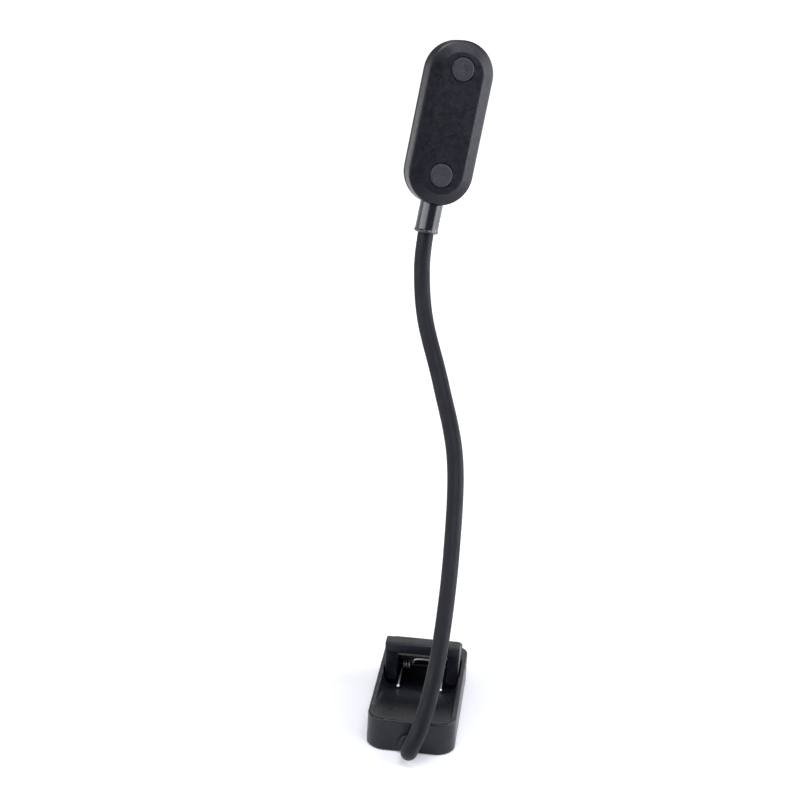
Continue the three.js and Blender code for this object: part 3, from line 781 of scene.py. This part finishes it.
def lever():
    z = HEIGHT
    arm_z = z + 1.9
    arm_top = arm_z + 1.8
    hinge_d = HINGE.y - REAR
    cheek = [
        (48, z - 5), (49, z - 5.6), (51, z - 6.6), (hinge_d - 4, z - 6.7), (hinge_d, z - 6.4),
        (hinge_d + 2.7, z - 5), (hinge_d + 3.9, z - 2.4), (hinge_d + 4.1, arm_z + 0.3),
        (hinge_d + 8.6, arm_z + 0.3), (hinge_d + 7.6, arm_top - 0.1),
        (hinge_d + 2, arm_top + 1.4), (54, arm_top + 4), (52.6, LIP_TOP - 5.9), (52.6, LIP_TOP - 3.6),
        (48, LIP_TOP - 3.6),
    ]
    cheek = rounded(cheek, [0.8, 0.8, 1.5, 2, 3, 2, 2, 0.3, 0.5, 2, 4, 4, 2, 0, 0], 4)
    parts = []
    for side in (-1, 1):
        lo, hi = sorted((side * LEVER_HALF, side * (LEVER_HALF - POST_W)))
        parts.append(new_object("tool", *prism(cheek, lo, hi, 0.45, crossways), SHELL))
    arm_half = LEVER_HALF - 0.07
    arm = rounded([(-arm_half, 55.8), (arm_half, 55.8), (arm_half, 76.4), (-arm_half, 76.4)], 2.6, 6)
    parts.append(new_object("tool", *prism(
        arm, arm_z, arm_top, 0.6, lambda u, v, h: Vector((u, y_at(v), h))), SHELL))
    # the thumb lip: soft edges at the rear, top falling slightly towards them, hollow underside
    lip = [(45.6, LIP_TOP - 4.9), (47.2, LIP_TOP - 5.0), (53, LIP_TOP - 4.9), (53, LIP_TOP + 0.2),
           (51.5, LIP_TOP + 0.2), (45.6, LIP_TOP)]
    lip = rounded(lip, [1.1, 1.0, 0.7, 1.1, 1.5, 0.75], 6)
    ob = new_object("clip_lever_moulding", *prism(lip, -LIP_HALF, LIP_HALF, 0.7, crossways, 5), SHELL)
    carve(ob, parts, "UNION")
    far = LEVER_HALF + 2
    carve(ob, [rod(BORE_R, Vector((-far, HINGE.y, HINGE.z)), Vector((far, HINGE.y, HINGE.z)), 32)])
    return finished(ob, "clip_jaw", "clip_lever")


def ribbed_pad(name, node, body, ribs_up):
    """A soft pad with shallow ribs on its gripping face."""
    lo, hi = span(node)
    base, face = (lo.z, hi.z) if ribs_up else (hi.z, lo.z)
    sign = 1 if ribs_up else -1
    outline = [(lo.y - REAR, base), (hi.y - REAR, base)]
    count = 9
    pitch = (hi.y - lo.y) / count
    top = []
    for i in range(count):
        d = hi.y - REAR - i * pitch
        for share, low in ((0.04, 0.22), (0.22, 0.0), (0.78, 0.0), (0.96, 0.22)):
            top.append((d - share * pitch, face - sign * low))
    ob = new_object(name, *prism(outline + top, lo.x, hi.x, 0.06, crossways, 2), PAD, 50)
    return finished(ob, body, node)


# ---------------------------------------------------------------- swept pieces

def catmull(points, per_span):
    """A uniform Catmull-Rom curve through points, with reflected end points."""
    p = [2 * points[0] - points[1]] + points + [2 * points[-1] - points[-2]]
    out = []
    for i in range(1, len(p) - 2):
        t0 = (p[i + 1] - p[i - 1]) / 2
        t1 = (p[i + 2] - p[i]) / 2
        for k in range(per_span):
            t = k / per_span
            out.append(p[i] + t0 * t + (3 * (p[i + 1] - p[i]) - 2 * t0 - t1) * t * t
                       + (2 * (p[i] - p[i + 1]) + t0 + t1) * t * t * t)
    out.append(points[-1])
    return out


class Line:
    """A polyline read by distance along it."""

    def __init__(self, points):
        self.points = points
        self.at = [0.0]
        for a, b in zip(points, points[1:]):
            self.at.append(self.at[-1] + (b - a).length)
        self.length = self.at[-1]

    def point(self, s):
        s = min(max(s, 0.0), self.length)
        lo, hi = 0, len(self.at) - 1
        while hi - lo > 1:
            mid = (lo + hi) // 2
            if self.at[mid] <= s:
                lo = mid
            else:
                hi = mid
        t = (s - self.at[lo]) / max(self.at[hi] - self.at[lo], 1e-9)
        return self.points[lo].lerp(self.points[hi], t)

    def direction(self, s):
        return (self.point(s + 0.25) - self.point(s - 0.25)).normalized()


def frames_along(line, places, first):
    """Axes carried along the line without twist."""
    out = []
    u = first
    for s in places:
        t = line.direction(s)
        u = (u - t * u.dot(t)).normalized()
        out.append((line.point(s), u.copy(), t.cross(u).normalized()))
    return out


NECK = [(0.6, -36, 4.9), (0.6, -44, 4.9), (0.9, -51.4, 6.8), (2.4, -54.2, 12.2), (4.9, -52.6, 18.9),
        (8.0, -45.3, 31.7), (10.4, -33.4, 51), (11.1, -10, 82), (8.4, 18.3, 115.7), (-1.4, 40.2, 143.4),
        (-11.6, 56.7, 168.8), (-15.3, 66.3, 189.6)]
INTO_COLLAR = 9.0
neck_points = [Vector(p) for p in NECK] + [HEAD_FOOT, HEAD_FOOT + HEAD_UP * INTO_COLLAR]
neck_line = Line(catmull(neck_points, 60))
SLEEVE_END = neck_line.length - INTO_COLLAR + 1.4
# the sleeve's lower part is this much slimmer, so that the elbow ends inside the CAD's box
SLEEVE_SLIM = 0.16


def sleeve_radius(s):
    """The sleeve is drawn over a wound core and swells slightly between its turns."""
    swell = 0.012 * math.sin(2 * math.pi * s / 2.4)
    slim = SLEEVE_SLIM * (1 - clamp01((s - 90) / 60))
    return NECK_R + swell - slim - 0.012


def core_radius(s):
    """The wound core is ribbed by its turns."""
    return CORE_R + (0.06 * math.cos(2 * math.pi * s / 3.2) - 0.06)


def neck():
    """One sleeve and one core per joint; each reaches between the joint's two bodies."""
    tails = ["root", "1", "2", "3", "4", "head"]
    seams = [(a + b) / 2 for a, b in zip(BEND_AT, BEND_AT[1:])]
    for kind, radius, bore, first, last, n, gap, material in (
            ("sleeve", sleeve_radius, SLEEVE_BORE_R, 0.5, SLEEVE_END, 56, 0.8, RUBBER),
            ("core", core_radius, 0.0, 0.0, SLEEVE_END + 5, 24, 1.6, STEEL)):
        cuts = [first] + seams + [last]
        for k, at in enumerate(BEND_AT):
            places = steps_between(cuts[k], cuts[k + 1], gap)
            whole = steps_between(0.0, cuts[k], 0.5)[:-1] + places
            frames = frames_along(neck_line, whole, X_AXIS)[-len(places):]
            skin = [circle(radius(s), p, u, v, n) for s, (p, u, v) in zip(places, frames)]
            if bore:
                inside = [circle(bore, p, u, v, n) for p, u, v in frames[::3] + frames[-1:]]
                data = loft(skin + inside[::-1], loop=True)
            else:
                data = loft(skin)
            ob = new_object(f"neck_{kind}_bend_{k + 1}", *data, material, 50)
            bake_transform(ob)
            nodes = [f"neck_{kind}_{tails[k]}", f"neck_{kind}_{tails[k + 1]}"]
            if kind == "sleeve":
                nodes.append(f"neck_flex_{k + 1}")
            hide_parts(*nodes)


def spring():
    """Leg on the scoop, coil round the pin, bridge behind the upper jaw, and the same mirrored."""
    wire = 0.42
    coil_r = 1.75
    out_x, in_x, turns = 9.8, 5.6, 3.5
    cy, cz = HINGE.y, HINGE.z
    tip = Vector((-out_x, y_at(40.4), HEIGHT - 4.4))
    low = Vector((-out_x, cy, cz - coil_r))
    pts = [tip.lerp(low, t) for t in (0.0, 0.5, 0.9)]
    count = round(turns * 16)
    for i in range(1, count + 1):
        t = i / count
        a = -math.pi / 2 + 2 * math.pi * turns * t
        x = -out_x + (out_x - in_x) * t
        pts.append(Vector((x, cy + coil_r * math.cos(a), cz + coil_r * math.sin(a))))
    bridge_y = y_at(55.8) - 0.45 - CLEAR
    bridge_z = HEIGHT + 1.9 + 0.9
    pts.append(Vector((-in_x + 0.5, cy - 1.6, cz + coil_r)))
    pts.append(Vector((-in_x + 1.2, cy - 3.0, cz + coil_r + 0.7)))
    pts.append(Vector((-in_x + 2.3, bridge_y, bridge_z)))
    pts += [Vector((-p.x, p.y, p.z)) for p in reversed(pts)]
    line = Line(catmull(pts, 6))
    places = steps_between(0.0, line.length, 0.28)
    rings = []
    ball = 0.62
    for s, (p, u, v) in zip(places, frames_along(line, places, X_AXIS)):
        r = wire
        from_end = min(s, line.length - s)
        if from_end < 2 * ball:
            # the tips are peened into small balls
            round_tip = math.sqrt(max(ball * ball - (from_end - ball) ** 2, 1e-4))
            r = max(round_tip, wire if from_end > ball else 0.02)
        rings.append(circle(r, p, u, v, 16))
    ob = new_object("spring_wire", *loft(rings), STEEL, 60)
    # the peened tips are coloured white, a painted highlight for the glint at the wire's ends
    ob.data.materials.append(TIP_HIGHLIGHT_WHITE)
    for face in ob.data.polygons:
        at = face.center / MM
        if min((at - pts[0]).length, (at - pts[-1]).length) < 2 * ball:
            face.material_index = 1
    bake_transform(ob)
    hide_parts("torsion_spring")


def boss_ring():
    """A flared ring moulded round the neck's exit."""
    lo, hi = span("neck_boss_ring")
    centre = Vector((0.1, hi.y, hi.z - 5.4))
    proud = hi.y - lo.y
    profile = [(0, 0), (5.3, 0), (5.25, 0.3), (5.05, 0.8), (4.95, proud - 0.45), (4.88, proud - 0.2),
               (4.72, proud - 0.05), (4.5, proud), (0, proud)]
    ob = new_object("exit_ring", *lathe(profile, centre, -Y_AXIS, 72), SHELL, 50)
    frames = frames_along(neck_line, steps_between(0.5, 16.0, 0.5), X_AXIS)
    bore = loft([circle(NECK_R - 0.1, p, u, v, 56) for p, u, v in frames])
    under = [(-8, -4), (8, -4), (8, lo.z), (-8, lo.z)]
    below = prism(under, REAR - 4, REAR + 4, 0, lambda u, v, h: Vector((u, h, v)), 1)
    carve(ob, [new_object("tool", *bore, None), new_object("tool", *below, None)], sharp=50)
    return finished(ob, "base", "neck_boss_ring")


def pin():
    ends = [(0, 0), (PIN_R - 0.25, 0), (PIN_R - 0.08, 0.07), (PIN_R, 0.25)]
    length = PIN_HI.x - PIN_LO.x
    profile = ends + [(PIN_R, length * k / 6) for k in range(1, 6)]
    profile += [(r, length - h) for r, h in reversed(ends)]
    start = Vector((PIN_LO.x, HINGE.y, HINGE.z))
    ob = new_object("pin_turned", *lathe(profile, start, X_AXIS, 40), PIN_NEAR_BLACK, 50)
    return finished(ob, "base", "hinge_pin")


# ---------------------------------------------------------------- head

def on_head(x, up, z):
    return HEAD_FOOT + HEAD_SIDE * x + HEAD_UP * up + HEAD_BACK * z


def head_rings(levels, width=HEAD_W, length=HEAD_L):
    """Stadium rings in the head's frame; each level is (inset, height)."""
    return [[on_head(x, y, z) for x, y in stadium(width - 2 * i, length - 2 * i, HEAD_MID)]
            for i, z in levels]


def spigot_bore():
    """A cutter for the hole that takes the collar's spigot."""
    return rod(SPIGOT_R + CLEAR, on_head(0, 8, 0), on_head(0, SPIGOT_END + CLEAR, 0), 48)


def head_shell():
    roof = RIM_Z - 1.2
    slope = (CREST_Z - RIM_Z) / CHAMFER_W
    soft = 0.3
    levels = [(SHELL_WALL + 0.3, roof), (SHELL_WALL, roof - 0.3), (SHELL_WALL, SHELL_FRONT_Z + 0.15),
              (SHELL_WALL - 0.15, SHELL_FRONT_Z), (0.28, SHELL_FRONT_Z), (0.1, SHELL_FRONT_Z + 0.07),
              (0.0, SHELL_FRONT_Z + 0.28), (0.0, 0.0), (0.0, 2.4), (0.0, RIM_Z - soft)]
    # soft shoulder from the side wall into the chamfer, and from the chamfer into the crest
    for a in (20, 40, 60):
        rise = soft * math.sin(math.radians(a)) * 1.02
        levels.append((soft * (1 - math.cos(math.radians(a))) * 0.9, RIM_Z - soft + rise))
    for share in (0.14, 0.3, 0.5, 0.7, 0.86, 0.93):
        i = CHAMFER_W * share
        levels.append((i, RIM_Z + slope * i))
    levels += [(CHAMFER_W * 0.985, CREST_Z - 0.034), (CHAMFER_W, CREST_Z - 0.01)]
    levels += [(CHAMFER_W * 1.02, CREST_Z), (CHAMFER_W + 2.2, CREST_Z)]
    ob = new_object("head_back_moulding", *loft(head_rings(levels)), SHELL, 24)
    tools = []
    for up in BUTTON_UP.values():
        r = BUTTON_R + CLEAR
        wide = r + 0.15
        profile = [(0, 0), (r, 0), (r, CREST_Z - 0.16), (wide - 0.05, CREST_Z - 0.06), (wide, CREST_Z + 0.02),
                   (wide, 12), (0, 12)]
        tools.append(new_object("tool", *lathe(profile, on_head(0, up, 0), HEAD_BACK, 72), None))
    tools.append(spigot_bore())
    carve(ob, tools, sharp=24)
    return finished(ob, "head", "head_back_shell")


def head_bezel():
    top = SHELL_FRONT_Z - CLEAR
    f = BEZEL_FRONT_Z
    edge = 0.95
    levels = [(BEZEL_LIP, top), (0.3, top), (0.1, top - 0.08), (0, top - 0.3), (0, f + edge)]
    levels += [(i, f + h) for i, h in round_off(edge, (20, 40, 60, 80, 90))]
    levels += [(BEZEL_LIP - 0.35, f), (BEZEL_LIP - 0.1, f + 0.1), (BEZEL_LIP, f + 0.35)]
    ob = new_object("head_front_moulding", *loft(head_rings(levels), loop=True), SHELL, 28)
    carve(ob, [spigot_bore()], sharp=28)
    return finished(ob, "head", "head_front_bezel")


def diffuser():
    inset = BEZEL_LIP + CLEAR
    front = BEZEL_FRONT_Z + 0.5
    back = front + 1.5
    levels = [(inset + 4, back), (inset + 0.15, back), (inset, back - 0.15), (inset, front + 0.45)]
    levels += [(inset + 0.35, front + 0.12), (inset + 1.2, front + 0.03), (inset + 3.5, front)]
    ob = new_object("light_window", *loft(head_rings(levels)), LENS, 40)
    return finished(ob, "head", "light_diffuser")


def buttons():
    """Caps with a stem behind, a soft bevel round the rim and a shallow dish."""
    stem_z = 1.6
    top = CREST_Z
    r = BUTTON_R
    stem = [(0, stem_z), (1.4, stem_z), (1.5, stem_z + 0.1), (1.5, top - 1.6)]
    rim = [(r - 0.1, top - 1.6), (r, top - 1.5), (r, top - 0.42), (r - 0.05, top - 0.26),
           (r - 0.17, top - 0.12), (r - 0.4, top - 0.03), (r - 0.7, top)]
    dish = [(r - 1.4, top), (r - 2.2, top - 0.02), (2.4, top - 0.05), (1.7, top - 0.09),
            (1.0, top - 0.14), (0.45, top - 0.17), (0, top - 0.18)]
    for name, up in BUTTON_UP.items():
        node = f"{name}_button"
        turned = lathe(stem + rim + dish, on_head(0, up, 0), HEAD_BACK, 72)
        ob = new_object(f"{name}_cap", *turned, CAP, 40)
        finished(ob, node, node)


def collar():
    """Glossy ferrule: a rolled lower rim, a straight barrel cut to follow the head's lower end."""
    roll = 0.75
    mouth = NECK_R + CLEAR
    low = [(mouth, 2.0), (mouth, 0.25), (mouth + 0.2, 0.04), (COLLAR_R - roll, 0.0)]
    for degrees in (20, 40, 60, 80, 100, 120):
        a = math.radians(degrees)
        low.append((COLLAR_R - roll + roll * math.sin(a), roll - roll * math.cos(a)))
    barrel = COLLAR_R - 0.3
    low += [(barrel + 0.04, 1.5), (barrel, 1.9)]
    bore = CORE_R + CLEAR
    top = COLLAR_L + 1.3
    profile = low + [(barrel, 1.9 + (top - 1.9) * k / 6) for k in range(1, 7)]
    profile += [(bore, top), (bore, 2.0)]
    ob = new_object("ferrule_turned", *lathe(profile, HEAD_FOOT, HEAD_UP, 96, loop=True), GLOSS, 40)
    arc = HEAD_MID - HEAD_L / 2 + HEAD_W / 2
    carve(ob, [rod(HEAD_W / 2 + 0.03, on_head(0, arc, -12), on_head(0, arc, 12), 160)], sharp=40)
    spigot = [(bore + 0.06, COLLAR_L - 2), (SPIGOT_R, COLLAR_L - 2), (SPIGOT_R, SPIGOT_END - 0.3),
              (SPIGOT_R - 0.3, SPIGOT_END), (bore + 0.06, SPIGOT_END)]
    turned = lathe(spigot, HEAD_FOOT, HEAD_UP, 64, loop=True)
    carve(ob, [new_object("tool", *turned, None)], "UNION", 40)
    return finished(ob, "head", "neck_collar")


# ---------------------------------------------------------------- build

housing()
lever()
ribbed_pad("lower_pad_ribbed", "lower_jaw_pad", "base", True)
ribbed_pad("upper_pad_ribbed", "upper_jaw_pad", "clip_jaw", False)
pin()
spring()
boss_ring()
neck()
head_shell()
head_bezel()
diffuser()
buttons()
collar()

# inner and hidden pieces keep their CAD shape, with softened edges and real finishes
CARRIED = {
    "base_cover": (COVER, 0.15), "battery_cell": (CELL, 0.6), "charge_board": (BOARD, 0.08),
    "usb_c_socket": (PORT, 0.06), "charge_light": (LENS, 0.15), "neck_anchor": (STEEL, 0.2),
    "led_board": (BOARD, 0.08), "brightness_switch": (PORT, 0.15), "colour_switch": (PORT, 0.15),
}
CARRIED.update({n: (STEEL, 0.1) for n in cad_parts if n.startswith("cover_screw")})
CARRIED.update({n: (LED, 0.15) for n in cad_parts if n.startswith("led_") and n != "led_board"})
for node, (material, edge) in CARRIED.items():
    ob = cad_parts[node]
    ob.data.materials.clear()
    ob.data.materials.append(material)
    bevel = ob.modifiers.new("edges", "BEVEL")
    bevel.width = edge * MM
    bevel.segments = 2
    bevel.limit_method = "ANGLE"
    bevel.angle_limit = math.radians(40)


# ---------------------------------------------------------------- camera, light, floor

def camera():
    """Looks from behind and above the neck, down along the clip."""
    data = bpy.data.cameras.new("camera")
    data.sensor_width = 36
    data.lens = 76.5
    data.clip_start = 0.01
    data.clip_end = 40
    ob = bpy.data.objects.new("camera", data)
    bpy.context.scene.collection.objects.link(ob)
    yaw, pitch, roll = math.radians(-5.3), math.radians(-17.63), math.radians(3.16)
    forward = Vector((math.sin(yaw) * math.cos(pitch), math.cos(yaw) * math.cos(pitch), math.sin(pitch)))
    right = forward.cross(Z_AXIS).normalized()
    up = right.cross(forward)
    tilted_right = right * math.cos(roll) + up * math.sin(roll)
    tilted_up = up * math.cos(roll) - right * math.sin(roll)
    m = Matrix((tilted_right, tilted_up, -forward)).transposed().to_4x4()
    m.translation = Vector((0.0486, -0.6962, 0.3696))
    ob.matrix_world = m
    bpy.context.scene.camera = ob


def softbox(name, place, target, size, power):
    data = bpy.data.lights.new(name, "AREA")
    data.shape = "RECTANGLE"
    data.size, data.size_y = size
    data.energy = power
    data.color = (0.9, 0.925, 1.0)
    ob = bpy.data.objects.new(name, data)
    bpy.context.scene.collection.objects.link(ob)
    ob.location = place
    ob.rotation_euler = (Vector(target) - Vector(place)).to_track_quat("-Z", "Y").to_euler()


def surroundings():
    """The world: a white card behind the lamp in a dark room that is darkest overhead."""
    world = bpy.data.worlds.new("studio")
    bpy.context.scene.world = world
    world.use_nodes = True
    tree = world.node_tree
    sky = tree.nodes["Background"]
    where = tree.nodes.new("ShaderNodeTexCoord")
    split = tree.nodes.new("ShaderNodeSeparateXYZ")
    tree.links.new(where.outputs["Generated"], split.inputs["Vector"])
    backdrop = remap(tree, split.outputs["Y"], 0.12, 1.1, 0.66, 0.88)
    overhead = remap(tree, split.outputs["Z"], 1.0, 0.03, 0.56, 0.7)
    # the card stands clear of the table, with a lower wing on each side
    card = remap(tree, split.outputs["Z"], 0.05, 2.0, 0.36, 0.46)
    wing = remap(tree, split.outputs["X"], 0.0, 1.0, 0.26, 0.38)
    far_wing = remap(tree, split.outputs["X"], 1.0, 0.0, -0.75, -0.55)
    wings = combine(tree, combine(tree, backdrop, wing), far_wing, "MAXIMUM")
    shape = combine(tree, combine(tree, backdrop, card), wings, "MAXIMUM")
    room = remap(tree, split.outputs["Z"], 0.12, 0.05, 0.0, 0.7)
    tree.links.new(combine(tree, combine(tree, shape, overhead), room, "MAXIMUM"), sky.inputs["Color"])
    sky.inputs["Strength"].default_value = 1.0


def table():
    """A round pale floor with painted shade that darkens it towards the viewer."""
    bm = bmesh.new()
    bmesh.ops.create_circle(bm, cap_ends=True, segments=96, radius=9)
    me = bpy.data.meshes.new("floor")
    bm.to_mesh(me)
    bm.free()
    floor = bpy.data.objects.new("floor", me)
    floor.location = (0, 0, -0.0001)
    bpy.context.scene.collection.objects.link(floor)
    m, tree, shader, where = principled(
        "floor_pale", None, (0.9, 0.9, 0.9), 0.9, Specular_IOR_Level=0.0, Emission_Strength=0.95)
    cloud = noise(tree, where, 3, 2, 0.5)
    spread = tree.nodes.new("ShaderNodeSeparateXYZ")
    tree.links.new(where.outputs["Object"], spread.inputs["Vector"])
    lit = remap(tree, spread.outputs["Y"], 0.0, 1.0, -0.5, -0.1)
    pale = mix(tree, remap(tree, cloud, 0, 1), (0.89, 0.89, 0.89), (0.91, 0.91, 0.91))
    tree.links.new(mix(tree, lit, (0.36, 0.36, 0.36), pale), shader.inputs["Base Color"])
    # the sweep behind the lamp glows by itself, so it stays white as far as the horizon
    sweep = remap(tree, spread.outputs["Y"], 0.1, 1.0, 0.05, 1.0)
    glow = mix(tree, combine(tree, lit, sweep), (0, 0, 0), (1, 1, 1))
    tree.links.new(glow, shader.inputs["Emission Color"])
    me.materials.append(m)


def lights():
    mid = (0, 0.05, 0.2)
    softbox("right_box", (0.8, 0.1, 0.32), mid, (1.0, 0.58), 9.0)
    softbox("left_box", (-0.62, -0.5, 0.38), mid, (1.1, 0.46), 6.0)
    softbox("high_box", (0.62, -0.5, 0.75), mid, (0.4, 0.4), 2.2)
    softbox("edge_box", (0.05, -0.42, 0.95), (0, 0, 0.02), (0.6, 0.3), 6.5)


camera()
surroundings()
table()
lights()
bpy.context.scene.view_settings.view_transform = "Standard"

bpy.context.view_layer.update()
